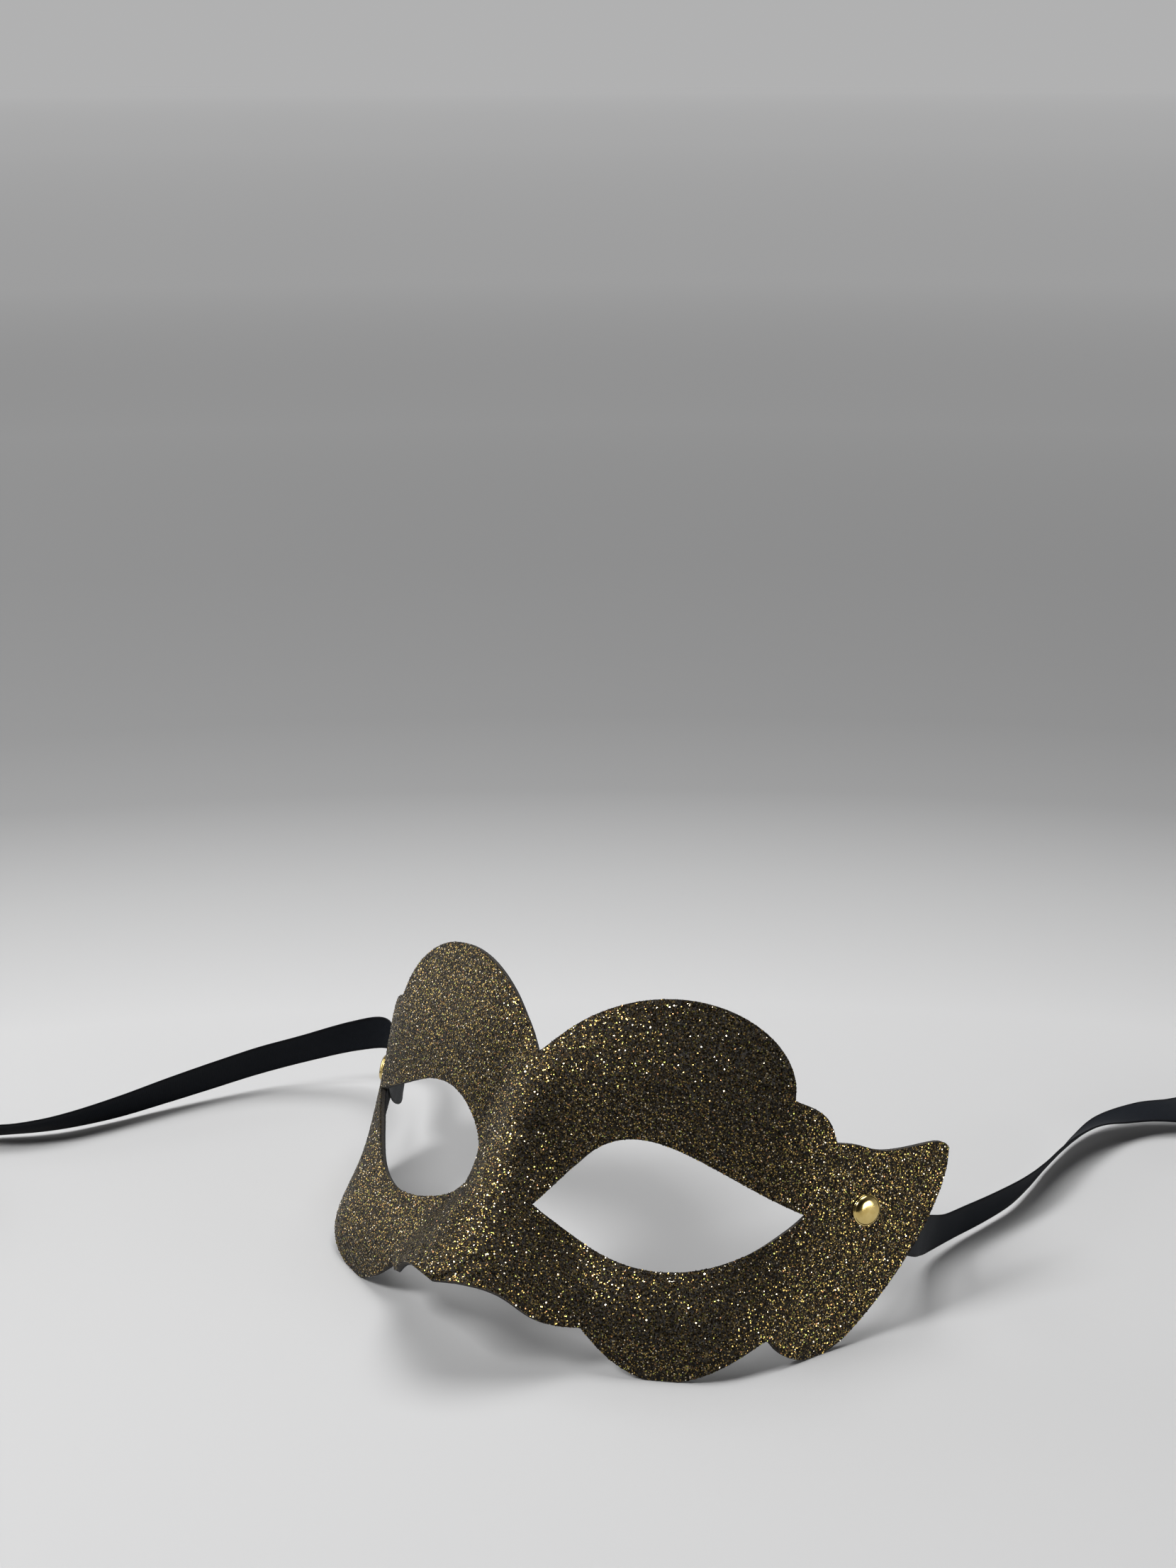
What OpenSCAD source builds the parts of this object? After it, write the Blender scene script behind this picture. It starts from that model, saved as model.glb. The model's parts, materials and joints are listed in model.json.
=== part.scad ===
// Venetian half-face masquerade mask with a scalloped edge.
// A moulded card core carries a glitter face and a felt lining. Through each wing goes a brass
// double-cap rivet, on which the pierced end of a ribbon tie swivels.
// The mask stands on its cheek and outer lobes and leans back. It faces -Y, up is +Z, and the
// origin is on the floor under the centre of the mask's box.

/* [Mask blank] */
// Width of the flat blank from wing tip to wing tip, before moulding
blank_w = 201; // [180:1:245]
// Height of the flat blank from the lowest lobe to the top of the brow
blank_h = 82; // [68:1:100]
// Thickness of the moulded card core
core_t = 0.8; // [0.5:0.1:1.2]
// Thickness of the glitter face
face_t = 0.3; // [0.2:0.1:0.6]
// Thickness of the felt lining
lining_t = 0.4; // [0.2:0.1:0.8]
// Depth that the core's lobes are trimmed flat where they stand on the floor
foot_trim = 0.2; // [0.1:0.1:0.5]
// Height above the floor at which the face and the lining are trimmed
skin_trim = 0.2; // [0.1:0.1:0.5]

/* [Moulded form] */
// Length along the blank of the arc over the bridge of the nose, from the centre line
bridge_len = 22; // [16:1:28]
// Angle that the bridge arc turns, in degrees
bridge_turn = 20; // [10:1:25]
// Length of the arc over the brow
brow_len = 32; // [26:1:38]
// Angle that the brow arc turns, in degrees
brow_turn = 10; // [5:1:20]
// Length of the arc round the temple, after which the wing is flat
temple_len = 25; // [20:1:32]
// Angle that the temple arc turns, in degrees
temple_turn = 30; // [20:1:35]
// How far the nose stands out at its lower edge
nose_out = 20; // [10:1:26]
// Half the width of the nose at its lower edge
nose_half_w = 26; // [20:1:34]
// How far the nose stands out at the bridge
bridge_out = 2.3; // [0:0.1:5]
// Half the width of the nose at the bridge
bridge_half_w = 8; // [7:1:16]
// How far the brow stands out over the eyes
brow_out = 2.3; // [0:0.1:5]
// How far the cheeks stand out under the eyes
cheek_out = 8; // [0:0.5:12]

/* [Rivets] */
// Distance along the blank from the centre line to a rivet
rivet_across = 81; // [76:0.5:88]
// Height of a rivet on the blank, above the lowest lobe
rivet_up = 44.5; // [38:0.5:50]
// Diameter of the rivet's domed cap
cap_d = 7.2; // [6:0.1:10]
// Height of the cap's dome
cap_h = 1.3; // [1:0.1:3]
// Diameter of the rivet's stem
stem_d = 3; // [2:0.1:4]
// Diameter of the rivet's base, behind the ribbon
base_d = 7; // [6:0.1:10]
// Thickness of the rivet's base
base_t = 0.8; // [0.5:0.1:1.5]

/* [Ribbon ties] */
// Width of the ribbon
ribbon_w = 10; // [7:0.5:14]
// Thickness of the ribbon
ribbon_t = 0.5; // [0.3:0.1:1]
// Angle by which a tie hangs below the line of its wing, in degrees
tie_drop = 17; // [5:1:25]
// Length of the pierced end from the rivet to where the free ribbon begins
tab_reach = 9; // [8:0.5:14]
// Length of the pierced end beyond the rivet
tab_heel = 4; // [3.5:0.5:6]
// Radial clearance of the pierced end on the rivet's stem
swivel_gap = 0.08; // [0.04:0.01:0.1]
// Gap between the pierced end and the lining
tab_gap = 0.3; // [0.2:0.05:0.5]
// Gap between the pierced end and the rivet's base
base_gap = 0.1; // [0.05:0.05:0.3]
// Radius of a ribbon coil, to the outside of its turns
coil_r = 34; // [28:1:40]
// Radius of the open middle of a ribbon coil
coil_hole_r = 20; // [16:1:26]

/* [Hidden] */
$fn = 64;

// ---- Flat blank ----
// The outline is drawn for a blank of this size and is stretched to the one that is set.
drawn_w = 201;
drawn_h = 82;
// Each curve of the right half's outline is a cubic Bezier: its four points, in mm across from
// the centre line and up from the lowest lobe, its number of steps, and the place on the eye
// hole's rim, from 0 at the inner corner over the top to 1 at the outer corner and round to 2,
// that its last point is joined to.
OUTLINE = [
    [[[0, 30.5], [0, 41], [0, 52], [0, 63]], 8, 0.1],             // centre line, up to the notch
    [[[0, 63], [20.5, 92.5], [58.5, 83.5], [58.5, 65.5]], 20, 0.8],  // brow lobe
    [[[58.5, 65.5], [68, 65], [68, 61], [70, 58]], 5, 0.92],         // small lobe
    [[[70, 58], [82, 60], [76, 54.5], [97, 62.5]], 9, 0.98],         // top of the wing
    [[[97, 62.5], [101.5, 62], [99.5, 61], [100.5, 57.5]], 4, 1.02], // wing tip
    [[[100.5, 57.5], [100.5, 50], [97, 34], [81.5, 14.5]], 13, 1.26], // rear edge
    [[[81.5, 14.5], [73.5, 7.5], [66.5, 9], [63, 13.5]], 6, 1.44],   // outer lobe
    [[[63, 13.5], [59, 12.5], [45, -12.5], [24, 7.5]], 15, 1.8],     // cheek lobe
    [[[24, 7.5], [11.5, 4.5], [15, 16], [0, 12]], 10, 1.95],         // under the nose
    [[[0, 12], [0, 18], [0, 24], [0, 30.5]], 6, 2]                   // centre line, to the bridge
];
EYE_TOP = [[8.5, 30.5], [21, 62], [38, 46.5], [66.5, 41]];
EYE_BOTTOM = [[66.5, 41], [59, 31], [37, 11], [8.5, 30.5]];
RING_STEPS = 5;         // steps from the eye hole's rim to the outline
OUTER_LOBE = 6;         // place of the outer lobe in OUTLINE
CHEEK_LOBE = 7;         // place of the cheek lobe in OUTLINE

function bezier(c, u) = pow(1 - u, 3) * c[0] + 3 * pow(1 - u, 2) * u * c[1]
    + 3 * (1 - u) * u * u * c[2] + pow(u, 3) * c[3];
function stretch(p) = [p.x * blank_w / drawn_w, p.y * blank_h / drawn_h];
function eye_rim(u) = stretch(u <= 1 ? bezier(EYE_TOP, u) : bezier(EYE_BOTTOM, u - 1));
function curve_points(k) = [for (i = [0:OUTLINE[k][1] - 1])
    stretch(bezier(OUTLINE[k][0], i / OUTLINE[k][1]))];

RIM = [for (k = [0:len(OUTLINE) - 1]) each curve_points(k)];
EYE = [for (k = [0:len(OUTLINE) - 1], i = [0:OUTLINE[k][1] - 1])
    let (from = k == 0 ? 0 : OUTLINE[k - 1][2])
    eye_rim(from + (OUTLINE[k][2] - from) * i / OUTLINE[k][1])];
N = len(RIM);

// ---- Moulded surface ----
// In plan the surface is three arcs and a flat wing: each gives its start, turned angle so far
// and radius, so that its points follow in closed form.
LENGTHS = [bridge_len, brow_len, temple_len];
TURNS = [bridge_turn, brow_turn, temple_turn];
function radius(k) = LENGTHS[k] * 180 / PI / TURNS[k];
function arc_end(start, angle, r, turn) =
    start + r * [sin(angle + turn) - sin(angle), cos(angle) - cos(angle + turn)];
function angle_before(k) = k == 0 ? 0 : angle_before(k - 1) + TURNS[k - 1];
function length_before(k) = k == 0 ? 0 : length_before(k - 1) + LENGTHS[k - 1];
function start_of(k) = k == 0 ? [0, 0]
    : arc_end(start_of(k - 1), angle_before(k - 1), radius(k - 1), TURNS[k - 1]);
ARC_START = [for (k = [0:3]) start_of(k)];
ARC_ANGLE = [for (k = [0:3]) angle_before(k)];
ARC_FROM = [for (k = [0:3]) length_before(k)];
wing_angle = ARC_ANGLE[3];

function arc_of(s) = s < ARC_FROM[1] ? 0 : s < ARC_FROM[2] ? 1 : s < ARC_FROM[3] ? 2 : 3;
// Plan position and surface angle at distance s from the centre line, as [x, y, angle]
function plan_at(s) = let (k = arc_of(s), run = s - ARC_FROM[k])
    k == 3
    ? [ARC_START[3].x + run * cos(wing_angle), ARC_START[3].y + run * sin(wing_angle), wing_angle]
    : let (turn = run / LENGTHS[k] * TURNS[k], p = arc_end(ARC_START[k], ARC_ANGLE[k], radius(k), turn))
      [p.x, p.y, ARC_ANGLE[k] + turn];

function clip(v, low, high) = max(low, min(high, v));
// A smooth bump, 1 at the middle and 0 from one unit out
function bump(v) = (1 + cos(180 * clip(abs(v), 0, 1))) / 2;
function ease(v) = let (c = clip(v, 0, 1)) c * c * (3 - 2 * c);

// Heights on the blank between which the relief is shaped
bridge_up = 57 * blank_h / drawn_h;
nose_up = 7 * blank_h / drawn_h;
brow_up = 61 * blank_h / drawn_h;
cheek_up = 7.5 * blank_h / drawn_h;
brow_half_h = 21;
cheek_half_h = 28;
relief_fade_from = length_before(3) - 29;
relief_fade_to = length_before(3) + 1;

// How far the surface stands out from the plan curve at a point of the blank
function relief(s, t) =
    let (down = (bridge_up - t) / (bridge_up - nose_up))
    let (nose = bridge_out + (nose_out - bridge_out) * clip(down, -0.3, 1.5))
    let (half_w = bridge_half_w + (nose_half_w - bridge_half_w) * clip(down, 0, 1.5))
    let (fade = ease((relief_fade_to - s) / (relief_fade_to - relief_fade_from)))
    nose * bump(s / half_w)
    + fade * (brow_out * bump((t - brow_up) / brow_half_h) + cheek_out * bump((t - cheek_up) / cheek_half_h));

function front_at(s, t) = let (a = abs(s), side = s < 0 ? -1 : 1, p = plan_at(a), d = relief(a, t))
    [side * (p.x + sin(p[2]) * d), p.y - cos(p[2]) * d, t];
// Unit normal of the front, pointing out of the face
PROBE = 0.05;           // distance between the points that a normal is measured on
function unit(v) = v / norm(v);
function normal_at(s, t) = unit(cross(
    front_at(s + PROBE, t) - front_at(s - PROBE, t),
    front_at(s, t + PROBE) - front_at(s, t - PROBE)));
function surface_at(s, t, depth) = front_at(s, t) - depth * normal_at(s, t);

// ---- Layers ----
DEPTHS = [0, face_t, face_t + core_t, face_t + core_t + lining_t];
back_depth = DEPTHS[3];
hole_l = 8;             // length of the cut that makes a rivet's hole

ring_count = RING_STEPS + 1;
function grid_points(depth) = [for (side = [1, -1], i = [0:N - 1], j = [0:RING_STEPS])
    let (p = EYE[i] + (RIM[i] - EYE[i]) * j / RING_STEPS)
    surface_at(side * p.x, p.y, depth)];
GRIDS = [for (depth = DEPTHS) grid_points(depth)];

CENTRE_UP = OUTLINE[0][1];                              // steps from the bridge up to the notch
CENTRE_LOW = N - OUTLINE[len(OUTLINE) - 1][1];          // first step of the lower centre line
function on_centre(i) = i <= CENTRE_UP || i >= CENTRE_LOW;
// Index of a grid point. Points on the centre line belong to the right half and are shared.
function at(side, layer, i, j) = let (m = i % N)
    ((layer * 2 + (on_centre(m) && j == RING_STEPS ? 0 : side)) * N + m) * ring_count + j;
function quad(a, b, c, d) = [[a, b, c], [a, c, d]];
function quad_on(flip, a, b, c, d) = flip ? quad(a, d, c, b) : quad(a, b, c, d);

module layer(outer, inner, trim_z = 0) {
    faces = [for (side = [0, 1], i = [0:N - 1]) each concat(
        [for (k = [0, 1], j = [0:RING_STEPS - 1]) each quad_on((k + side) % 2 == 1,
            at(side, k, i, j), at(side, k, i, j + 1), at(side, k, i + 1, j + 1), at(side, k, i + 1, j))],
        quad_on(side == 1,
            at(side, 0, i, 0), at(side, 0, i + 1, 0), at(side, 1, i + 1, 0), at(side, 1, i, 0)),
        on_centre(i) && on_centre((i + 1) % N) ? []
            : quad_on(side == 1, at(side, 0, i, RING_STEPS), at(side, 1, i, RING_STEPS),
                at(side, 1, i + 1, RING_STEPS), at(side, 0, i + 1, RING_STEPS))
    )];
    difference() {
        stand() polyhedron(points = concat(GRIDS[outer], GRIDS[inner]), faces = faces);
        stand() for (side = [1, -1]) at_rivet(side) cylinder(h = hole_l, d = stem_d, center = true);
        translate([-blank_w, -blank_w, trim_z - blank_h]) cube([2 * blank_w, 2 * blank_w, blank_h]);
    }
}

// ---- Standing pose ----
// The mask leans back until its cheek lobes and outer lobes touch the floor together.
function lobe_points(k) = [for (p = curve_points(k), depth = [0, back_depth]) surface_at(p.x, p.y, depth)];
CHEEK_POINTS = lobe_points(CHEEK_LOBE);
OUTER_POINTS = lobe_points(OUTER_LOBE);
function lean_point(p, a) = [p.x, p.y * cos(a) + p.z * sin(a), p.z * cos(a) - p.y * sin(a)];
function lowest(points, a) = min([for (p = points) lean_point(p, a).z]);
function rest_lean(low, high, steps) = let (a = (low + high) / 2)
    steps == 0 ? a
    : lowest(CHEEK_POINTS, a) > lowest(OUTER_POINTS, a) ? rest_lean(low, a, steps - 1)
    : rest_lean(a, high, steps - 1);
lean = rest_lean(5, 45, 16);
LEANT_Y = [for (grid = [GRIDS[0], GRIDS[3]], p = grid) lean_point(p, lean).y];
floor_drop = min(lowest(CHEEK_POINTS, lean), lowest(OUTER_POINTS, lean)) + foot_trim;
middle_y = (min(LEANT_Y) + max(LEANT_Y)) / 2;
function standing(p) = lean_point(p, lean) - [0, middle_y, floor_drop];

module stand() translate([0, -middle_y, -floor_drop]) rotate([-lean, 0, 0]) children();

// ---- Rivets ----
rivet_s = rivet_across * blank_w / drawn_w;
rivet_t = rivet_up * blank_h / drawn_h;
RIVET = plan_at(rivet_s);
// Places children on a rivet's axis, with +Z out of the face and +X towards the wing's rear edge
module at_rivet(side)
    mirror([side < 0 ? 1 : 0, 0, 0])
        translate([RIVET.x, RIVET.y, rivet_t]) rotate([0, 0, wing_angle]) rotate([90, 0, 0]) children();

base_top = -back_depth - tab_gap - ribbon_t - base_gap;     // front of the base, on the rivet's axis
stem_up = cap_h * 0.6;                                      // depth that the stem goes into the cap

module rivet_cap(side) {
    dome_r = (cap_h * cap_h + cap_d * cap_d / 4) / (2 * cap_h);
    color("gold") stand() at_rivet(side) difference() {
        intersection() {
            translate([0, 0, cap_h - dome_r]) sphere(r = dome_r, $fn = 96);
            cylinder(h = cap_h, d = cap_d);
        }
        translate([0, 0, -1]) cylinder(h = 1 + stem_up, d = stem_d);
    }
}

module rivet_post(side) {
    rim_t = base_t / 2;
    foot_d = base_d * 0.7;
    color("darkgoldenrod") stand() at_rivet(side) rotate_extrude() polygon([
        [0, base_top - base_t], [foot_d / 2, base_top - base_t], [base_d / 2, base_top - rim_t],
        [base_d / 2, base_top], [stem_d / 2, base_top], [stem_d / 2, stem_up], [0, stem_up]]);
}

// ---- Ribbon ties ----
module ribbon_end(side) {
    corner = 1;
    length = tab_heel + tab_reach;
    color([0.05, 0.05, 0.06]) stand() at_rivet(side) translate([0, 0, -back_depth - tab_gap - ribbon_t])
        rotate([0, 0, -tie_drop]) linear_extrude(ribbon_t) difference() {
            union() {
                translate([corner - tab_heel, -ribbon_w / 2]) square([length - corner, ribbon_w]);
                translate([-tab_heel, corner - ribbon_w / 2]) square([2 * corner, ribbon_w - 2 * corner]);
                for (up = [1, -1])
                    translate([corner - tab_heel, up * (ribbon_w / 2 - corner)]) circle(r = corner);
            }
            circle(d = stem_d + 2 * swivel_gap);
        }
}

// The free ribbon starts on the end face of its pierced end. These give that face's middle, the
// way it faces and the direction across the ribbon, in the standing mask.
function side_of(side, v) = [side * v.x, v.y, v.z];
ALONG_WING = [cos(wing_angle), sin(wing_angle), 0];
OUT_OF_WING = [sin(wing_angle), -cos(wing_angle), 0];
TIE_WAY = cos(tie_drop) * ALONG_WING - [0, 0, sin(tie_drop)];
TIE_ACROSS = sin(tie_drop) * ALONG_WING + [0, 0, cos(tie_drop)];
tie_depth = back_depth + tab_gap + ribbon_t / 2;
function on_tie(side, reach, depth) = standing(side_of(side,
    [RIVET.x, RIVET.y, rivet_t] + reach * TIE_WAY - (tie_depth + depth) * OUT_OF_WING));
function tie_way(side) = lean_point(side_of(side, TIE_WAY), lean);
function tie_across(side) = lean_point(side_of(side, TIE_ACROSS), lean);

// Route of each free ribbon from just behind the wing's rear edge to its coil: x, y, z, and the
// turn of the ribbon's width about its own line, where 90 stands it on edge and 0 lays it flat.
RIGHT_ROUTE = [
    [73.3, 35.4, 20, 92.5], [73.1, 42, 16.1, 86], [71.2, 50.4, 11.8, 81], [69.8, 59.5, 8, 76],
    [70.8, 70, 6.6, 73], [73.2, 81.5, 6.1, 70], [75.3, 93, 6, 66], [75.5, 104.5, 5.6, 61],
    [74.8, 117, 5.2, 57], [74.8, 127, 5, 51], [75.5, 137.5, 5, 35], [78, 147.5, 5, 10],
    [84, 156.5, 5.2, -5], [90.5, 162, 5.2, -14], [97, 168, 5.2, -35], [103, 174.5, 5.2, -65],
    [107.5, 182, 5.2, -90]
];
LEFT_ROUTE = [
    [-74.9, 36.2, 18.6, 77], [-78.6, 42.7, 15, 79], [-84, 49.3, 15.6, 85], [-91, 55.5, 17.8, 93],
    [-99, 60.5, 18.5, 99], [-109, 58, 16, 105], [-120, 50.5, 12.5, 110], [-129, 41, 10, 109],
    [-136, 29.5, 8, 110], [-142, 17, 6.5, 114], [-147, 4.5, 5.5, 121], [-152.5, -7.5, 5, 131],
    [-158, -15, 4.5, 138], [-165, -21.5, 4.2, 140], [-174, -28, 4.6, 125], [-184, -35.5, 5.2, 105],
    [-193.5, -42.5, 5.2, 90]
];
ROUTE_STEPS = 4;        // steps between two points of a route

function lerp(a, b, u) = a + (b - a) * u;
function place(p) = [p.x, p.y, p.z];
// Catmull-Rom curve from b to c, two neighbouring points of a route
function through(a, b, c, d, u) = 0.5 * (2 * b + (c - a) * u + (2 * a - 5 * b + 4 * c - d) * u * u
    + (3 * b - a - 3 * c + d) * u * u * u);
function across_at(way, turn) = let (level = unit(cross(way, [0, 0, 1])), up = cross(level, way))
    cos(turn) * level + sin(turn) * up;

module free_ribbon(side, route) {
    start = on_tie(side, tab_reach, 0);
    way = tie_way(side);
    across = tie_across(side);
    level = unit(cross(way, [0, 0, 1]));
    start_turn = atan2(across * cross(level, way), across * level);
    knots = concat([concat(start, start_turn)], route);
    last = len(knots) - 1;
    before = concat(start - way * norm(place(knots[1]) - start), start_turn);
    after = 2 * knots[last] - knots[last - 1];
    line = [for (k = [0:last - 1], i = [0:ROUTE_STEPS - 1])
        through(k == 0 ? before : knots[k - 1], knots[k], knots[k + 1],
            k == last - 1 ? after : knots[k + 2], i / ROUTE_STEPS), knots[last]];
    count = len(line);
    rings = [for (k = [0:count - 1])
        let (step = place(line[min(k + 1, count - 1)]) - place(line[max(k - 1, 0)]))
        let (heading = k == 0 ? way : unit(step))
        let (wide = (k == 0 ? across : across_at(heading, line[k][3])) * ribbon_w / 2)
        let (thick = unit(cross(heading, wide)) * ribbon_t / 2)
        each [place(line[k]) + wide + thick, place(line[k]) - wide + thick,
            place(line[k]) - wide - thick, place(line[k]) + wide - thick]];
    sides = [for (k = [0:count - 2], m = [0:3]) each quad(
        4 * k + m, 4 * k + 4 + m, 4 * k + 4 + (m + 1) % 4, 4 * k + (m + 1) % 4)];
    ends = concat(quad(0, 1, 2, 3), quad(4 * count - 1, 4 * count - 2, 4 * count - 3, 4 * count - 4));
    color([0.05, 0.05, 0.06]) polyhedron(points = rings, faces = concat(sides, ends));
}

// The rest of each ribbon is wound into a loose coil that stands on its edge on the floor
RIGHT_COIL = [134, 164];
LEFT_COIL = [-174, -68];
module ribbon_coil(middle) {
    color([0.05, 0.05, 0.06]) translate([middle.x, middle.y, 0]) rotate_extrude()
        translate([coil_hole_r, 0]) square([coil_r - coil_hole_r, ribbon_w]);
}

module glitter_face() color([0.36, 0.29, 0.15]) layer(0, 1, skin_trim);
module card_core() color([0.16, 0.13, 0.1]) layer(1, 2);
module felt_lining() color([0.08, 0.08, 0.08]) layer(2, 3, skin_trim);

glitter_face();
card_core();
felt_lining();
rivet_cap(-1);  // left_rivet_cap
rivet_post(-1);  // left_rivet_post
rivet_cap(1);  // right_rivet_cap
rivet_post(1);  // right_rivet_post
ribbon_end(-1);  // left_ribbon_end
free_ribbon(-1, LEFT_ROUTE);  // left_ribbon
ribbon_coil(LEFT_COIL);  // left_ribbon_coil
ribbon_end(1);  // right_ribbon_end
free_ribbon(1, RIGHT_ROUTE);  // right_ribbon
ribbon_coil(RIGHT_COIL);  // right_ribbon_coil
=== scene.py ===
import json
import math

import bmesh
import bpy
from mathutils import Matrix, Vector


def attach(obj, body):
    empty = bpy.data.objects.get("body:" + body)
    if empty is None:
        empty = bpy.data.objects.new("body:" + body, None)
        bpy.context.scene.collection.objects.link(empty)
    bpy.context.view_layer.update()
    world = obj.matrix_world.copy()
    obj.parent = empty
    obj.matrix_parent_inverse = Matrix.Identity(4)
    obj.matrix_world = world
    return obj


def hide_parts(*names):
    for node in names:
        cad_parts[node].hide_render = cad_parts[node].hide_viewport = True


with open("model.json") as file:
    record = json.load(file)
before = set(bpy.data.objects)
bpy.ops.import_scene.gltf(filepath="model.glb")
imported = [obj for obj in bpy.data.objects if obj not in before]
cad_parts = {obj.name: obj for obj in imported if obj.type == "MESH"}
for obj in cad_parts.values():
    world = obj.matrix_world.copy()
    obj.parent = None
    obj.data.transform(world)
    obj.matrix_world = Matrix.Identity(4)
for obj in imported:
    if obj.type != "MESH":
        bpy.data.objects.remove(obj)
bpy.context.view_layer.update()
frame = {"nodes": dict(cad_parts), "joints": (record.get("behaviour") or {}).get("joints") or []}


# ---- Camera ----
# A long lens a little above the mask and to its right, looking down on it. Both ribbons run out of
# its view, one on each side.
camera_data = bpy.data.cameras.new("camera")
camera_data.lens = 52.98
camera_data.sensor_width = 36
camera_data.clip_start = 0.01
camera = bpy.data.objects.new("camera", camera_data)
camera.matrix_world = (
    Matrix.Translation((0.2804, -0.3941, 0.2730))
    @ Matrix.Rotation(math.radians(34.41), 4, "Z")
    @ Matrix.Rotation(math.radians(72.79), 4, "X")
    @ Matrix.Rotation(math.radians(-0.23), 4, "Z"))
bpy.context.scene.collection.objects.link(camera)
bpy.context.scene.camera = camera


# ---- Ribbon ties ----
# Each tie is half a metre of black satin ribbon, woven with a firmer selvedge along both edges. Its
# pierced end turns on the rivet, and the rest lies loose on the table and ends in a small open coil.
LEAN = math.radians(22.498)           # the mask leans back by this
WING_TURN = math.radians(60)          # a wing's angle in plan
TIE_DROP = math.radians(17)           # a tie hangs below the line of its wing by this
TIE_REACH = 0.009                     # from the rivet to where the free ribbon begins
TIE_HEEL = 0.004                      # the pierced end beyond the rivet
RIBBON_W = 0.010
RIBBON_LENGTH = 0.491                 # free length of each tie, from its pierced end
COIL_PITCH = 0.0045                   # from one turn of the coil to the next
COIL_STEP = 0.0012                    # from one point of the coil to the next
COIL_SINK = 0.00001                   # each point of the coil lies lower by this, until it is on edge
ROUTE_STEPS = 10                      # points of the line for each point of a route
# across the ribbon, -1 to 1, and half its thickness there: the selvedges are the thickest part
RIBBON_SECTION = [(-1, 0.00008), (-0.97, 0.00022), (-0.9, 0.00021), (-0.84, 0.00016), (-0.42, 0.00016),
                  (0, 0.00016), (0.42, 0.00016), (0.84, 0.00016), (0.9, 0.00021), (0.97, 0.00022),
                  (1, 0.00008)]
# x, y, z in metres, and the turn of the ribbon's width about its own line: 90 is on edge, 0 is flat
RIGHT_ROUTE = [
    (0.0733, 0.0354, 0.02, 92.5), (0.0731, 0.042, 0.0161, 86), (0.0712, 0.0504, 0.0118, 81),
    (0.0698, 0.0595, 0.008, 76), (0.0708, 0.07, 0.0066, 73), (0.0732, 0.0815, 0.0061, 70),
    (0.0753, 0.093, 0.006, 66), (0.0755, 0.1045, 0.0056, 61), (0.0748, 0.117, 0.0052, 57),
    (0.0748, 0.127, 0.005, 51), (0.0755, 0.1375, 0.005, 35), (0.078, 0.1475, 0.005, 10),
    (0.084, 0.1565, 0.0052, -5), (0.0905, 0.162, 0.0052, -14), (0.097, 0.168, 0.0052, -35),
    (0.103, 0.1745, 0.0052, -65), (0.1075, 0.182, 0.0052, -90)]
LEFT_ROUTE = [
    (-0.0749, 0.0362, 0.0186, 77), (-0.0786, 0.0427, 0.015, 79), (-0.084, 0.0493, 0.0156, 85),
    (-0.091, 0.0555, 0.0178, 93), (-0.099, 0.0605, 0.0185, 99), (-0.109, 0.058, 0.016, 105),
    (-0.12, 0.0505, 0.0125, 110), (-0.129, 0.041, 0.01, 109), (-0.136, 0.0295, 0.008, 110),
    (-0.142, 0.017, 0.0065, 114), (-0.147, 0.0045, 0.0055, 121), (-0.1525, -0.0075, 0.005, 131),
    (-0.158, -0.015, 0.0045, 138), (-0.165, -0.0215, 0.0042, 140), (-0.174, -0.028, 0.0046, 125),
    (-0.184, -0.0355, 0.0052, 105), (-0.1935, -0.0425, 0.0052, 90)]
SIDES = {"right": (1, RIGHT_ROUTE, Vector((0.134, 0.164)), -1),
         "left": (-1, LEFT_ROUTE, Vector((-0.174, -0.068)), 1)}
joints = {joint["name"]: joint for joint in frame["joints"]}


def leant(x, y, z):
    """A direction of the upright mask, in the mask that leans back."""
    return Vector((x, y * math.cos(LEAN) + z * math.sin(LEAN), z * math.cos(LEAN) - y * math.sin(LEAN)))


def tie_axes(side):
    """Along a tie, across it, and out of the face, at its rivet."""
    along_wing = leant(side * math.cos(WING_TURN), math.sin(WING_TURN), 0)
    up_wing = leant(0, 0, 1)
    along = math.cos(TIE_DROP) * along_wing - math.sin(TIE_DROP) * up_wing
    across = math.sin(TIE_DROP) * along_wing + math.cos(TIE_DROP) * up_wing
    return along, across, leant(side * math.sin(WING_TURN), -math.cos(WING_TURN), 0)


def through(a, b, c, d, u):
    """A point of the Catmull-Rom curve from b to c."""
    return [(2 * q + (r - p) * u + (2 * p - 5 * q + 4 * r - s) * u * u
             + (3 * q - p - 3 * r + s) * u ** 3) / 2
            for p, q, r, s in zip(a, b, c, d)]


def principled(name, **values):
    """A new material and its main shader, with what is the same all over set on the shader."""
    material = bpy.data.materials.new(name)
    material.use_nodes = True
    shader = material.node_tree.nodes["Principled BSDF"]
    for key, value in values.items():
        shader.inputs[key.replace("_", " ").title().replace("Ior", "IOR")].default_value = value
    return material, shader


def node(material, kind, inputs=(), **settings):
    """Adds a shader node. An input is a value, or another node's output."""
    made = material.node_tree.nodes.new(kind)
    for key, value in settings.items():
        setattr(made, key, value)
    for key, value in dict(inputs).items():
        if isinstance(value, bpy.types.NodeSocket):
            material.node_tree.links.new(value, made.inputs[key])
        else:
            made.inputs[key].default_value = value
    return made


def ramp(material, factor, *stops):
    """A colour ramp of (place, colour) stops."""
    made = node(material, "ShaderNodeValToRGB", {"Fac": factor})
    while len(made.color_ramp.elements) < len(stops):
        made.color_ramp.elements.new(1)
    for element, (place, color) in zip(made.color_ramp.elements, stops):
        element.position = place
        element.color = (*color, 1)
    return made.outputs["Color"]


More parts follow.
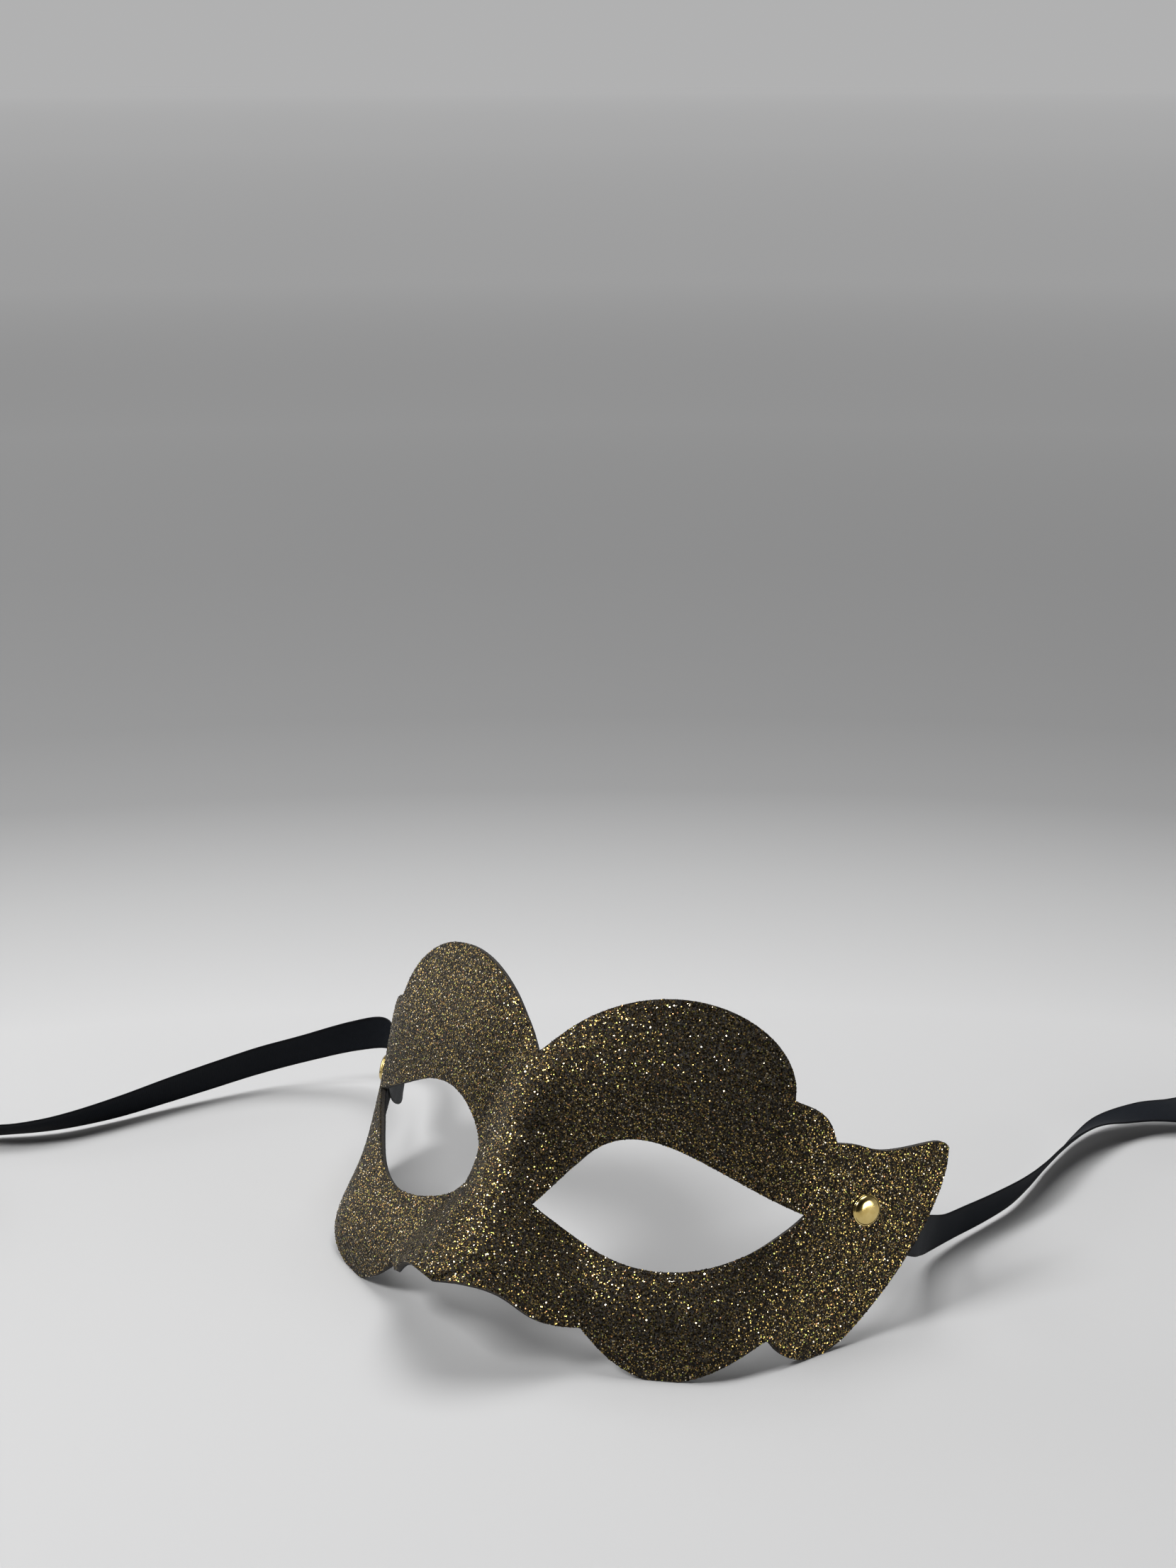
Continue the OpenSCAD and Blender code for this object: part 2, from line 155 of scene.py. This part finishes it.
def mesh_piece(name, points, faces, material, body, smooth_angle=40, uvs=None):
    """A finished piece with its place in its mesh, riding on a body."""
    mesh = bpy.data.meshes.new(name)
    mesh.from_pydata([tuple(p) for p in points], [], faces)
    if uvs:
        layer = mesh.uv_layers.new(name="along")
        for loop in mesh.loops:
            layer.data[loop.index].uv = uvs[loop.vertex_index]
    return dress(bpy.data.objects.new(name, mesh), material, body, smooth_angle)


def dress(piece, material, body, smooth_angle=40):
    """Gives a new piece its material, smooth shading and body."""
    if piece.name not in bpy.context.scene.collection.objects:
        bpy.context.scene.collection.objects.link(piece)
    piece.data.materials.clear()
    piece.data.materials.append(material)
    piece.data.shade_smooth()
    piece.data.set_sharp_from_angle(angle=math.radians(smooth_angle))
    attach(piece, body)
    return piece


# Black satin: fine weft ribs across the ribbon, a faint sheen, and a duller selvedge
satin, shader = principled("satin_ribbon", roughness=0.5, specular_ior_level=0.07)
uv = node(satin, "ShaderNodeUVMap", uv_map="along").outputs["UV"]
split = node(satin, "ShaderNodeSeparateXYZ", {"Vector": uv})
stretched = node(satin, "ShaderNodeMapping", {"Vector": uv, "Scale": (6, 90, 1)}).outputs["Vector"]
weft = node(satin, "ShaderNodeTexNoise", {"Vector": stretched, "Scale": 1.0, "Detail": 3.0})
selvedge = ramp(satin, split.outputs["X"], (0.0, (1, 1, 1)), (0.07, (1, 1, 1)), (0.09, (0, 0, 0)),
                (0.91, (0, 0, 0)), (0.93, (1, 1, 1)), (1.0, (1, 1, 1)))
cloth = ramp(satin, weft.outputs["Fac"], (0.3, (0.003, 0.004, 0.006)), (0.7, (0.008, 0.010, 0.014)))
mixed = node(satin, "ShaderNodeMix", data_type="RGBA")
for key, source in ((0, selvedge), (6, cloth)):
    satin.node_tree.links.new(source, mixed.inputs[key])
mixed.inputs[7].default_value = (0.003, 0.0035, 0.005, 1)
satin.node_tree.links.new(mixed.outputs[2], shader.inputs["Base Color"])
ribs = node(satin, "ShaderNodeTexWave", {"Vector": uv, "Scale": 9.0, "Distortion": 0.6, "Detail": 1.0},
            bands_direction="Y")
relief = node(satin, "ShaderNodeMath", {0: ribs.outputs["Fac"], 1: weft.outputs["Fac"]}, operation="ADD")
bump = node(satin, "ShaderNodeBump", {"Height": relief.outputs[0], "Strength": 0.35, "Distance": 0.00006})
satin.node_tree.links.new(bump.outputs["Normal"], shader.inputs["Normal"])

for name, (side, route, coil, turn) in SIDES.items():
    rivet = Vector(joints[f"{name}_ribbon_swivel"]["pos_m"])
    along, across, outward = tie_axes(side)
    start = rivet + TIE_REACH * along
    level = along.cross(Vector((0, 0, 1))).normalized()
    start_turn = math.degrees(math.atan2(across.dot(level.cross(along)), across.dot(level)))
    knots = [(*start, start_turn), *route]
    gap = (Vector(knots[1][:3]) - start).length
    knots = [(*(start - gap * along), start_turn), *knots,
             tuple(2 * b - a for a, b in zip(knots[-2], knots[-1]))]
    line = [through(*knots[k:k + 4], i / ROUTE_STEPS)
            for k in range(len(route)) for i in range(ROUTE_STEPS)]
    line.append(list(route[-1]))
    run = sum((Vector(a[:3]) - Vector(b[:3])).length for a, b in zip(line, line[1:]))
    arm = Vector(route[-1][:2]) - coil
    radius, angle = arm.length, math.atan2(arm.y, arm.x)
    while run < RIBBON_LENGTH:
        angle += turn * COIL_STEP / radius
        radius -= COIL_PITCH * COIL_STEP / (2 * math.pi * radius)
        line.append([coil.x + radius * math.cos(angle), coil.y + radius * math.sin(angle),
                     max(RIBBON_W / 2, line[-1][2] - COIL_SINK), route[-1][3]])
        run += COIL_STEP

    points, uvs, length = [], [], 0
    for k, (x, y, z, twist) in enumerate(line):
        before, after = Vector(line[max(k - 1, 0)][:3]), Vector(line[min(k + 1, len(line) - 1)][:3])
        heading = along if k == 0 else (after - before).normalized()
        level = heading.cross(Vector((0, 0, 1))).normalized()
        a = math.radians(twist)
        wide = across if k == 0 else math.cos(a) * level + math.sin(a) * level.cross(heading)
        thick = heading.cross(wide).normalized()
        length += (Vector((x, y, z)) - before).length if k else 0
        for way in (1, -1):
            for u, half in RIBBON_SECTION[::way]:
                points.append(Vector((x, y, z)) + wide * u * RIBBON_W / 2 + thick * half * way)
                uvs.append(((u + 1) / 2, length / RIBBON_W))
    ring = 2 * len(RIBBON_SECTION)
    faces = [(k * ring + m, k * ring + ring + m,
              k * ring + ring + (m + 1) % ring, k * ring + (m + 1) % ring)
             for k in range(len(line) - 1) for m in range(ring)]
    last = (len(line) - 1) * ring
    faces += [tuple(range(ring)), tuple(range(last + ring - 1, last - 1, -1))]
    ribbon = mesh_piece(f"{name}_satin_ribbon", points, faces, satin, f"{name}_tie", uvs=uvs)
    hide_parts(f"{name}_ribbon", f"{name}_ribbon_coil")


# ---- Pierced ribbon ends ----
# The first 13 mm of each ribbon lies flat behind its wing. It is punched for the rivet's stem, and its
# cut end is sealed with heat, which leaves a thin shiny bead.
HOLE_R = 0.00158                      # turns on a 1.5 mm radius stem
CORNER_R = 0.001
SIDE_STEPS, END_STEPS, HEEL_STEPS, CORNER_STEPS = 14, 8, 4, 5
# share of the way from the hole to the edge, and half the thickness there
END_RINGS = [(0, 0.0002), (0.08, 0.00022), (0.2, 0.00016), (0.5, 0.00016), (0.8, 0.00016),
             (0.93, 0.00021), (0.98, 0.0002), (1, 0.00008)]


def arc(cx, cy, first, last, steps):
    """Points of a rounded corner."""
    return [(cx + CORNER_R * math.cos(math.radians(first + (last - first) * i / steps)),
             cy + CORNER_R * math.sin(math.radians(first + (last - first) * i / steps)))
            for i in range(steps + 1)]


half_w = RIBBON_W / 2
heel_x = CORNER_R - TIE_HEEL
edge = [(TIE_REACH, -half_w + RIBBON_W * i / END_STEPS) for i in range(END_STEPS + 1)]
edge += [(TIE_REACH + (heel_x - TIE_REACH) * i / SIDE_STEPS, half_w) for i in range(1, SIDE_STEPS)]
edge += arc(heel_x, half_w - CORNER_R, 90, 180, CORNER_STEPS)
edge += [(-TIE_HEEL, (half_w - CORNER_R) * (1 - i / HEEL_STEPS)) for i in range(1, 2 * HEEL_STEPS)]
edge += arc(heel_x, CORNER_R - half_w, 180, 270, CORNER_STEPS)
edge += [(heel_x + (TIE_REACH - heel_x) * i / SIDE_STEPS, -half_w) for i in range(1, SIDE_STEPS)]
for name, (side, route, coil, turn) in SIDES.items():
    rivet = Vector(joints[f"{name}_ribbon_swivel"]["pos_m"])
    along, across, outward = tie_axes(side)
    points, uvs = [], []
    for way in (1, -1):
        for share, half in END_RINGS[::way]:
            for x, y in edge:
                far = math.hypot(x, y)
                near = Vector((x, y)) * HOLE_R / far
                place = near.lerp(Vector((x, y)), share)
                points.append(rivet + along * place.x + across * place.y + outward * half * way)
                uvs.append((place.y / RIBBON_W + 0.5, place.x / RIBBON_W))
    count, rings = len(edge), 2 * len(END_RINGS)
    faces = [(r * count + m, (r + 1) % rings * count + m,
              (r + 1) % rings * count + (m + 1) % count, r * count + (m + 1) % count)
             for r in range(rings) for m in range(count)]
    if side > 0:
        faces = [face[::-1] for face in faces]
    end = mesh_piece(f"{name}_pierced_end", points, faces, satin, f"{name}_tie", uvs=uvs)
    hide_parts(f"{name}_ribbon_end")


# ---- Card core ----
# The moulded card that gives the mask its shape: one blank, cut out flat and pressed over a form while
# damp. It is dyed dark, and only its cut edge shows, between the glitter and the felt.
card, shader = principled("dyed_card", roughness=0.9)
place = node(card, "ShaderNodeTexCoord").outputs["Object"]
fibres = node(card, "ShaderNodeTexNoise", {"Vector": place, "Scale": 2600.0, "Detail": 4.0})
card.node_tree.links.new(
    ramp(card, fibres.outputs["Fac"], (0.3, (0.012, 0.010, 0.008)), (0.75, (0.05, 0.042, 0.032))),
    shader.inputs["Base Color"])
bump = node(card, "ShaderNodeBump", {"Height": fibres.outputs["Fac"], "Strength": 0.6, "Distance": 0.0001})
card.node_tree.links.new(bump.outputs["Normal"], shader.inputs["Normal"])
SHARP_EDGE = math.radians(38)         # edges sharper than this stay sharp
JOINED = 0.000002                     # corners of triangles nearer than this are one corner


def rounded_copy(node_name, piece_name):
    """A copy of a CAD node's mesh with its triangles joined and its outline's facets rounded."""
    work = bmesh.new()
    work.from_mesh(frame["nodes"][node_name].data)
    bmesh.ops.remove_doubles(work, verts=work.verts, dist=JOINED)
    crease = work.edges.layers.float.new("crease_edge")
    for rim in work.edges:
        if len(rim.link_faces) != 2 or rim.calc_face_angle(0) > SHARP_EDGE:
            rim[crease] = 1
    mesh = bpy.data.meshes.new(node_name)
    work.to_mesh(mesh)
    work.free()
    piece = bpy.data.objects.new(piece_name, mesh)
    bpy.context.scene.collection.objects.link(piece)
    piece.modifiers.new("round", "SUBSURF").levels = 1
    evaluated = piece.evaluated_get(bpy.context.evaluated_depsgraph_get())
    rounded = bpy.data.meshes.new_from_object(evaluated)
    piece.modifiers.clear()
    piece.data = rounded
    return piece


core = dress(rounded_copy("card_core", "dyed_card_core"), card, "mask")
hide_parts("card_core")


# ---- Glitter face ----
# Paper bonded to the front of the card and covered in loose-laid glitter. Between the flakes it is
# coloured nearly black, which is painted shade, with a fine grain of crumbs.
ground, shader = principled("glitter_ground", roughness=0.55, metallic=0.6)
place = node(ground, "ShaderNodeTexCoord").outputs["Object"]
crumbs = node(ground, "ShaderNodeTexVoronoi", {"Vector": place, "Scale": 3200.0})
shade = node(ground, "ShaderNodeSeparateColor", {"Color": crumbs.outputs["Color"]})
# The near-black low end of this ramp is painted shade between the flakes; its bright high end is crumbs of
# glitter
ground.node_tree.links.new(
    ramp(ground, shade.outputs["Red"], (0.0, (0.004, 0.003, 0.002)), (0.7, (0.010, 0.007, 0.004)),
         (0.9, (0.06, 0.043, 0.018)), (1.0, (0.22, 0.16, 0.06))),
    shader.inputs["Base Color"])
tilt = node(ground, "ShaderNodeVectorMath", {0: crumbs.outputs["Color"], 1: (0.5, 0.5, 0.5)},
            operation="SUBTRACT")
scaled = node(ground, "ShaderNodeVectorMath", {0: tilt.outputs[0]}, operation="SCALE")
scaled.inputs["Scale"].default_value = 1.1
facing = node(ground, "ShaderNodeNewGeometry").outputs["Normal"]
turned = node(ground, "ShaderNodeVectorMath", {0: facing, 1: scaled.outputs[0]}, operation="ADD")
unit = node(ground, "ShaderNodeVectorMath", {0: turned.outputs[0]}, operation="NORMALIZE")
ground.node_tree.links.new(unit.outputs[0], shader.inputs["Normal"])
face = dress(rounded_copy("glitter_face", "glitter_ground"), ground, "mask")
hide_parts("glitter_face")


# ---- Glitter flakes ----
# Hexagonal polyester flakes, sprinkled on the wet glue of the face and its cut edge, so that each one
# lies at its own small tilt. They come in gold, pale, copper, green gold and dark bronze.
FLOOR_GAP = 0.0006                    # no flake is laid lower than this
BOND_GAP = 0.00006                    # a surface nearer to the core than this is glued to it


def scatter_tree():
    """Geometry Nodes that lay flakes on a surface, except where it is bonded to the core."""
    tree = bpy.data.node_groups.new("flake_scatter", "GeometryNodeTree")
    for label, kind in (("Surface", "Geometry"), ("Bonded to", "Object"), ("Flake", "Object"),
                        ("Per square metre", "Float"), ("Tilt", "Float"), ("Lift", "Float"),
                        ("Smallest", "Float"), ("Largest", "Float"), ("Seed", "Int"),
                        ("Finish", "Material")):
        tree.interface.new_socket(name=label, in_out="INPUT", socket_type=f"NodeSocket{kind}")
    tree.interface.new_socket(name="Flakes", in_out="OUTPUT", socket_type="NodeSocketGeometry")

    def add(kind, inputs=(), **settings):
        made = tree.nodes.new(kind)
        for key, value in settings.items():
            setattr(made, key, value)
        for key, value in dict(inputs).items():
            if isinstance(value, bpy.types.NodeSocket):
                tree.links.new(value, made.inputs[key])
            else:
                made.inputs[key].default_value = value
        return made

    given = add("NodeGroupInput").outputs
    backing = add("GeometryNodeObjectInfo", {"Object": given["Bonded to"]})
    near = add("GeometryNodeProximity", {0: backing.outputs["Geometry"]}, target_element="FACES")
    free = add("FunctionNodeCompare", {0: near.outputs["Distance"], 1: BOND_GAP},
               operation="GREATER_THAN")
    place = add("ShaderNodeSeparateXYZ", {"Vector": add("GeometryNodeInputPosition").outputs[0]})
    clear = add("FunctionNodeCompare", {0: place.outputs["Z"], 1: FLOOR_GAP}, operation="GREATER_THAN")
    both = add("FunctionNodeBooleanMath", {0: free.outputs[0], 1: clear.outputs[0]}, operation="AND")
    spots = add("GeometryNodeDistributePointsOnFaces",
                {"Mesh": given["Surface"], "Selection": both.outputs[0],
                 "Density": given["Per square metre"], "Seed": given["Seed"]})
    rise = add("FunctionNodeRandomValue", {2: 0.0, 3: given["Lift"], "Seed": given["Seed"]})
    shift = add("ShaderNodeVectorMath", {0: spots.outputs["Normal"]}, operation="SCALE")
    tree.links.new(rise.outputs[1], shift.inputs["Scale"])
    lifted = add("GeometryNodeSetPosition",
                 {"Geometry": spots.outputs["Points"], "Offset": shift.outputs[0]})
    lean_low = add("ShaderNodeMath", {0: given["Tilt"], 1: -1.0}, operation="MULTIPLY")
    low = add("ShaderNodeCombineXYZ", {"X": lean_low.outputs[0], "Y": lean_low.outputs[0]})
    high = add("ShaderNodeCombineXYZ", {"X": given["Tilt"], "Y": given["Tilt"], "Z": 2 * math.pi})
    leans = add("FunctionNodeRandomValue",
                {0: low.outputs[0], 1: high.outputs[0], "Seed": given["Seed"]}, data_type="FLOAT_VECTOR")
    lean_turn = add("FunctionNodeEulerToRotation", {0: leans.outputs[0]})
    turned_flake = add("FunctionNodeRotateRotation",
                       {0: spots.outputs["Rotation"], 1: lean_turn.outputs[0]}, rotation_space="LOCAL")
    sizes = add("FunctionNodeRandomValue",
                {2: given["Smallest"], 3: given["Largest"], "Seed": given["Seed"]})
    shape = add("GeometryNodeObjectInfo", {"Object": given["Flake"]})
    laid = add("GeometryNodeInstanceOnPoints",
               {"Points": lifted.outputs[0], "Instance": shape.outputs["Geometry"],
                "Rotation": turned_flake.outputs[0], "Scale": sizes.outputs[1]})
    real = add("GeometryNodeRealizeInstances", {0: laid.outputs[0]})
    done = add("GeometryNodeSetMaterial", {"Geometry": real.outputs[0], "Material": given["Finish"]})
    out = add("NodeGroupOutput")
    tree.links.new(done.outputs[0], out.inputs[0])
    return tree


def scatter(name, surface, tree, values):
    """Runs the scatter on a surface, and returns the flakes as one plain mesh object."""
    modifier = surface.modifiers.new("scatter", "NODES")
    modifier.node_group = tree
    for item in tree.interface.items_tree:
        if item.name in values:
            modifier[item.identifier] = values[item.name]
    evaluated = surface.evaluated_get(bpy.context.evaluated_depsgraph_get())
    mesh = bpy.data.meshes.new_from_object(evaluated)
    surface.modifiers.remove(modifier)
    mesh.name = name
    return bpy.data.objects.new(name, mesh)


def flat_shape(name, outline):
    """A hidden one-face shape for the scatter to repeat."""
    mesh = bpy.data.meshes.new(name)
    mesh.from_pydata([(x, y, 0) for x, y in outline], [], [tuple(range(len(outline)))])
    return bpy.data.objects.new(name, mesh)


FLAKE_R = 0.00018
hexagon = flat_shape("flake_shape", [(FLAKE_R * math.cos(math.radians(60 * k)),
                                      FLAKE_R * math.sin(math.radians(60 * k))) for k in range(6)])
flake_tree = scatter_tree()
# name, flakes per square metre, colour, roughness, largest tilt in degrees
FLAKES = [("bronze_flakes", 4.4e6, (0.026, 0.018, 0.010), 0.34, 12),
          ("gold_flakes", 2.1e6, (0.44, 0.305, 0.095), 0.24, 15),
          ("pale_flakes", 0.8e6, (0.64, 0.56, 0.42), 0.20, 20),
          ("copper_flakes", 0.4e6, (0.36, 0.18, 0.08), 0.26, 18),
          ("green_gold_flakes", 0.45e6, (0.38, 0.40, 0.10), 0.24, 18)]
FIRST_SEED = 11
for seed, (name, density, color, roughness, most) in enumerate(FLAKES, FIRST_SEED):
    film, shader = principled(name, metallic=1.0, roughness=roughness)
    place = node(film, "ShaderNodeTexCoord").outputs["Object"]
    grain = node(film, "ShaderNodeTexNoise", {"Vector": place, "Scale": 1500.0, "Detail": 1.0})
    dark = tuple(c * 0.55 for c in color)
    light = tuple(min(1, c * 1.3) for c in color)
    film.node_tree.links.new(ramp(film, grain.outputs["Fac"], (0.35, dark), (0.65, light)),
                             shader.inputs["Base Color"])
    flakes = scatter(name, face, flake_tree, {
        "Bonded to": core, "Flake": hexagon, "Per square metre": density,
        "Tilt": math.radians(most), "Lift": 0.00008, "Smallest": 0.55, "Largest": 1.05,
        "Seed": seed, "Finish": film})
    dress(flakes, film, "mask")


# ---- Felt lining ----
# Thin black felt glued to the back of the card and cut with it, so that the mask is soft on the skin.
# Short loose fibres lie on its face and along its cut edge.
felt, shader = principled("black_felt", roughness=1.0, specular_ior_level=0.1, sheen_weight=0.08,
                          sheen_roughness=0.6)
place = node(felt, "ShaderNodeTexCoord").outputs["Object"]
matted = node(felt, "ShaderNodeTexNoise",
              {"Vector": place, "Scale": 900.0, "Detail": 6.0, "Roughness": 0.7})
felt.node_tree.links.new(
    ramp(felt, matted.outputs["Fac"], (0.3, (0.003, 0.003, 0.0035)), (0.7, (0.014, 0.014, 0.015))),
    shader.inputs["Base Color"])
bump = node(felt, "ShaderNodeBump", {"Height": matted.outputs["Fac"], "Strength": 0.8, "Distance": 0.0003})
felt.node_tree.links.new(bump.outputs["Normal"], shader.inputs["Normal"])
lining = dress(rounded_copy("felt_lining", "felt_backing"), felt, "mask")
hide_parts("felt_lining")
fibre = flat_shape("fibre_shape", [(-0.0006, -0.000012), (-0.0002, 0.00008), (0.0004, 0.00006),
                                   (0.0007, -0.00001), (0.0004, 0.00003), (-0.0002, 0.00005)])
fuzz = scatter("felt_fibres", lining, flake_tree, {
    "Bonded to": core, "Flake": fibre, "Per square metre": 1.6e6, "Tilt": math.radians(7),
    "Lift": 0.00003, "Smallest": 0.4, "Largest": 1.0, "Seed": 5, "Finish": felt})
dress(fuzz, felt, "mask")


# ---- Rivets ----
# Double-cap rivets of polished brass: a domed cap with a rolled rim is pressed on the stem in front,
# and the tubular base behind holds the ribbon's end.
FACE_TO_TIE = 0.00205                 # from the middle of the ribbon's end out to the face
TURNS = 64                            # flats around a turned piece
BASE_TOP = 0.0001 + 0.00025           # from the middle of the ribbon's end back to the rivet's base
STEM_R = 0.0015
STEM_TOP = FACE_TO_TIE + BASE_TOP + 0.0005   # the stem reaches half a millimetre up into the cap
brass, shader = principled("polished_brass", metallic=1.0)
place = node(brass, "ShaderNodeTexCoord").outputs["Object"]
smear = node(brass, "ShaderNodeTexNoise", {"Vector": place, "Scale": 420.0, "Detail": 3.0})
brass.node_tree.links.new(
    ramp(brass, smear.outputs["Fac"], (0.35, (0.60, 0.44, 0.15)), (0.7, (0.74, 0.58, 0.24))),
    shader.inputs["Base Color"])
polish = node(brass, "ShaderNodeMapRange", {"Value": smear.outputs["Fac"], "To Min": 0.08, "To Max": 0.2})
brass.node_tree.links.new(polish.outputs[0], shader.inputs["Roughness"])
lines = node(brass, "ShaderNodeTexNoise", {"Vector": place, "Scale": 5200.0, "Detail": 2.0})
bump = node(brass, "ShaderNodeBump",
            {"Height": lines.outputs["Fac"], "Strength": 0.05, "Distance": 0.00005})
brass.node_tree.links.new(bump.outputs["Normal"], shader.inputs["Normal"])
# radius, and height above the face
CAP_PROFILE = [(0.0, 0.0013), (0.0004, 0.001298), (0.0008, 0.00129), (0.0012, 0.001272),
               (0.0016, 0.00124), (0.002, 0.00119), (0.0024, 0.0011), (0.0027, 0.00099),
               (0.003, 0.00081), (0.0032, 0.00061), (0.0033, 0.00045), (0.00334, 0.00038),
               (0.00342, 0.00036), (0.00352, 0.00032), (0.00359, 0.00023), (0.0036, 0.00014),
               (0.00356, 0.00004), (0.0034, 0.0), (0.0, 0.0)]
# radius, and distance out from the front of the base
POST_PROFILE = [(0.0, STEM_TOP), (STEM_R, STEM_TOP), (STEM_R, 0.0), (0.0034, 0.0), (0.0035, -0.0001),
                (0.00345, -0.0003), (0.0031, -0.00052), (0.0022, -0.00072), (0.0014, -0.0008),
                (0.0011, -0.00076), (0.0009, -0.0006), (0.0008, -0.00035), (0.0, -0.0003)]


def lathe(name, profile, origin, axis, body):
    """Turns a profile about an axis. The profile starts and ends on it."""
    across_axis = axis.orthogonal().normalized()
    other = axis.cross(across_axis)
    points, rows = [], []
    for radius, height in profile:
        if radius == 0:
            rows.append([len(points)] * TURNS)
            points.append(origin + axis * height)
            continue
        rows.append(list(range(len(points), len(points) + TURNS)))
        for k in range(TURNS):
            a = 2 * math.pi * k / TURNS
            points.append(origin + axis * height
                          + radius * (across_axis * math.cos(a) + other * math.sin(a)))
    faces = []
    for low, high in zip(rows, rows[1:]):
        for k in range(TURNS):
            loop = [low[k], high[k], high[(k + 1) % TURNS], low[(k + 1) % TURNS]]
            loop = [v for i, v in enumerate(loop) if v != loop[i - 1]]
            faces.append(tuple(loop))
    return mesh_piece(name, points, faces, brass, body, smooth_angle=50)


for name, (side, route, coil, turn) in SIDES.items():
    rivet = Vector(joints[f"{name}_ribbon_swivel"]["pos_m"])
    outward = tie_axes(side)[2]
    cap = lathe(f"{name}_brass_cap", CAP_PROFILE, rivet + outward * FACE_TO_TIE, outward, "mask")
    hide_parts(f"{name}_rivet_cap")
    post = lathe(f"{name}_brass_post", POST_PROFILE, rivet - outward * BASE_TOP, outward, "mask")
    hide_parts(f"{name}_rivet_post")


# ---- Floor and light ----
# A plain pale table in a pale room. Painted shade darkens the table to grey well behind the mask, and a
# painted glow far off stands in for the dim room behind. A large soft light hangs overhead, and three
# windows, in front and on both sides, soften the shadows.
TABLE_HALF = 30
FRONT = (0.2804, -0.3941, 0.0)        # the painted shade and glow on the table change with distance from here
# metres from the front, the table's grey with painted shade that darkens it far off, and the painted glow
# that stands in for what the dim room behind adds to it
TABLE_SHADE_AND_GLOW = [(0.0, 0.44, 0.0), (0.43, 0.455, 0.0), (0.58, 0.455, 0.0), (0.68, 0.475, 0.0), (0.73, 0.44, 0.0),
        (0.76, 0.38, 0.0), (0.80, 0.295, 0.0), (0.84, 0.26, 0.0), (0.89, 0.245, 0.0), (1.0, 0.215, 0.005),
        (1.3, 0.18, 0.075), (1.86, 0.16, 0.19), (3.15, 0.1, 0.305), (9.0, 0.05, 0.36),
        (28.0, 0.05, 0.41)]
BLUER = 1.005                         # the table's blue against its red and green
# The table's emission is the painted glow: far off, the table glows though it is no lamp
table_top, shader = principled("pale_table", roughness=0.7, specular_ior_level=0.2, emission_strength=1.0)
place = node(table_top, "ShaderNodeTexCoord").outputs["Object"]
apart = node(table_top, "ShaderNodeVectorMath", {0: place, 1: FRONT}, operation="DISTANCE")
reach = node(table_top, "ShaderNodeMath", {0: apart.outputs["Value"], 1: 1 / TABLE_SHADE_AND_GLOW[-1][0]},
             operation="MULTIPLY")
# Painted shade goes into the base colour, and painted glow into the emission
for socket, shades in (("Base Color", [(d, shaded_grey) for d, shaded_grey, room in TABLE_SHADE_AND_GLOW]),
                       ("Emission Color", [(d, room) for d, shaded_grey, room in TABLE_SHADE_AND_GLOW])):
    table_top.node_tree.links.new(
        ramp(table_top, reach.outputs[0], *[(d / TABLE_SHADE_AND_GLOW[-1][0], (v, v, v * BLUER)) for d, v in shades]),
        shader.inputs[socket])
table_mesh = bpy.data.meshes.new("table_top")
corners = [(x * TABLE_HALF, y * TABLE_HALF, 0) for x, y in ((-1, -1), (1, -1), (1, 1), (-1, 1))]
table_mesh.from_pydata(corners, [], [(0, 1, 2, 3)])
table_mesh.materials.append(table_top)
table = bpy.data.objects.new("table_top", table_mesh)
bpy.context.scene.collection.objects.link(table)

MASK_MIDDLE = Vector((0, 0, 0.03))


def soft_light(name, place, size, watts):
    """A square soft light that looks at the mask."""
    lamp = bpy.data.lights.new(name, "AREA")
    lamp.shape = "SQUARE"
    lamp.size = size
    lamp.energy = watts
    made = bpy.data.objects.new(name, lamp)
    made.location = place
    made.rotation_euler = (MASK_MIDDLE - Vector(place)).to_track_quat("-Z", "Y").to_euler()
    bpy.context.scene.collection.objects.link(made)


soft_light("overhead", (-0.1, 0.35, 1.3), 0.9, 15)
soft_light("front_window", (-0.45, -0.78, 1.05), 0.4, 15)
soft_light("left_window", (-1.4, -0.1, 0.4), 0.8, 5)
soft_light("right_window", (1.4, 0.0, 0.16), 0.5, 6)

# The room is pale all round, darker overhead, and dark on the side that the mask is seen from
ROOM_GREY = (0.44, 0.44, 0.442)
DARK_SIDE = (0.54, -0.79, 0.30)
world = bpy.data.worlds.new("room")
world.use_nodes = True
bpy.context.scene.world = world
background = world.node_tree.nodes["Background"]
way = node(world, "ShaderNodeTexCoord").outputs["Generated"]
toward = node(world, "ShaderNodeVectorMath", {0: way, 1: DARK_SIDE}, operation="DOT_PRODUCT")
room = ramp(world, toward.outputs["Value"], (0.0, ROOM_GREY), (0.4, (0.40, 0.40, 0.402)),
            (0.75, (0.08, 0.08, 0.08)), (1.0, (0.03, 0.03, 0.03)))
height = node(world, "ShaderNodeSeparateXYZ", {"Vector": way}).outputs["Z"]
dimming = ramp(world, height, (0.08, (1, 1, 1)), (0.5, (0.3, 0.3, 0.3)))
dimmed = node(world, "ShaderNodeMix", {0: 1.0}, data_type="RGBA", blend_type="MULTIPLY")
for key, source in ((6, room), (7, dimming)):
    world.node_tree.links.new(source, dimmed.inputs[key])
# Looked at directly, beyond the far edge of the table, it is plain grey
seen = node(world, "ShaderNodeLightPath").outputs["Is Camera Ray"]
plain = node(world, "ShaderNodeMix", data_type="RGBA")
for key, source in ((0, seen), (6, dimmed.outputs[2])):
    world.node_tree.links.new(source, plain.inputs[key])
plain.inputs[7].default_value = (*ROOM_GREY, 1)
world.node_tree.links.new(plain.outputs[2], background.inputs["Color"])
bpy.context.scene.view_settings.view_transform = "Standard"
